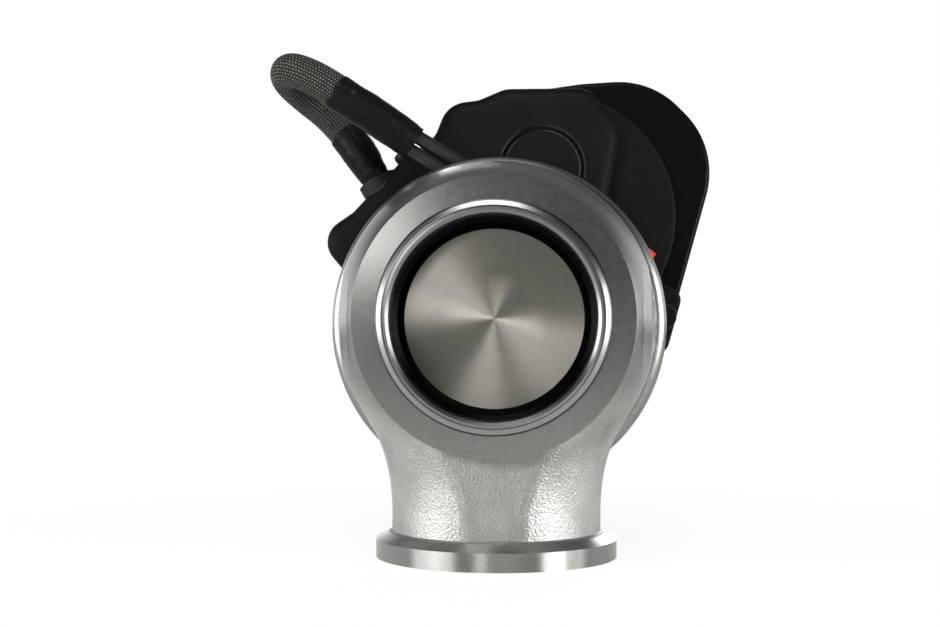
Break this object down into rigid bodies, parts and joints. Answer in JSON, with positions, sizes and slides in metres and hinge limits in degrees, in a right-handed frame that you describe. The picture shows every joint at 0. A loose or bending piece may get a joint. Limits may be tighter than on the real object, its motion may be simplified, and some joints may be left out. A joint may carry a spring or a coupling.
{
  "type": "turbo wastegate",
  "caption": "Electrically driven exhaust wastegate: poppet valve in a cast body with clamped inlet and outlet flanges, gear drive housing and short harness.",
  "frame": {"origin": "centre of the inlet flange's front face, on the valve's centre line", "axes": "-Y out of the inlet, so the valve opens along +Y; -Z out of the outlet; +X to the right seen from the inlet"},
  "size_m": [0.1572, 0.1425, 0.1682],
  "materials": {
    "cast_steel": "investment cast stainless steel, bead blasted, machined at the flanges",
    "machined_steel": "turned stainless steel, satin",
    "valve_steel": "turned heat-resisting steel, slightly tinted",
    "zinc_screw": "zinc-plated steel",
    "graphite": "pressed graphite, matt",
    "bronze": "sintered bronze",
    "housing_black": "die-cast aluminium, black coated, fine texture",
    "cover_black": "glass-filled nylon, black, smooth",
    "rubber_black": "moulded rubber, matt black",
    "shrink_black": "heat-shrink tube, satin black",
    "braid_grey": "braided polyester sleeve, dark grey with light strands",
    "lead_black": "lead jacket, gloss black",
    "connector_black": "moulded nylon, black",
    "lock_red": "moulded nylon, red",
    "gear_steel": "hobbed and ground steel",
    "board_green": "glass-epoxy board, green",
    "magnet_grey": "sintered ferrite"
  },
  "bodies": {
    "root": {"valve_body": "cast_steel", "seat_ring": "machined_steel", "bonnet_gasket": "graphite", "bonnet": "machined_steel", "bonnet_screws": "zinc_screw", "stem_guide": "bronze", "inner_stem_seal": "graphite", "outer_stem_seal": "graphite", "posts": "machined_steel", "post_screws": "zinc_screw", "front_housing": "housing_black", "rod_seal": "rubber_black", "rear_cover": "cover_black", "cover_gasket": "rubber_black", "cover_screws": "zinc_screw", "guide_sleeve": "bronze", "sleeve_screws": "zinc_screw", "gear_bearing": "gear_steel", "idler_pin": "gear_steel", "motor_can": "gear_steel", "motor_end_cap": "connector_black", "motor_magnets": "magnet_grey", "motor_bearings": "bronze", "circuit_board": "board_green", "board_parts": "connector_black", "cable_gland": "rubber_black", "connector_plug": "connector_black", "connector_lock": "lock_red", "connector_clip": "connector_black", "lower_heat_shrink": "shrink_black", "braided_cable": "braid_grey", "upper_heat_shrink": "shrink_black", "lead_a": "lead_black", "lead_b": "lead_black"},
    "valve_group": {"valve": "valve_steel", "crosshead": "gear_steel", "cross_pin": "gear_steel", "pin_rollers": "gear_steel"},
    "cam_group": {"final_gear": "gear_steel", "cam_barrel": "gear_steel", "sensor_magnet": "magnet_grey"},
    "idler_group": {"idler_wheel": "gear_steel", "idler_pinion": "gear_steel"},
    "motor_group": {"motor_rotor": "gear_steel", "motor_pinion": "gear_steel"}
  },
  "joints": [
    {"name": "valve_lift", "type": "slide", "parent": "root", "child": "valve_group", "axis": [0, 1, 0], "range_m": [0, 0.014]},
    {"name": "cam_spin", "type": "hinge", "parent": "root", "child": "cam_group", "pos_m": [0, 0.12, 0], "axis": [0, -1, 0], "range_deg": [-1, 141]},
    {"name": "idler_spin", "type": "hinge", "parent": "root", "child": "idler_group", "pos_m": [0.01837, 0.125, 0.02861], "axis": [0, -1, 0], "range_deg": [-658.3, 5]},
    {"name": "motor_spin", "type": "hinge", "parent": "root", "child": "motor_group", "pos_m": [0.01517, 0.11, 0.05542], "axis": [0, -1, 0], "range_deg": [-10, 2564]}
  ],
  "couplings": [
    {"joint": "cam_spin", "follows": "valve_lift", "rad_per_m": 174.53},
    {"joint": "idler_spin", "follows": "valve_lift", "rad_per_m": -814.49},
    {"joint": "motor_spin", "follows": "valve_lift", "rad_per_m": 3183.9}
  ]
}
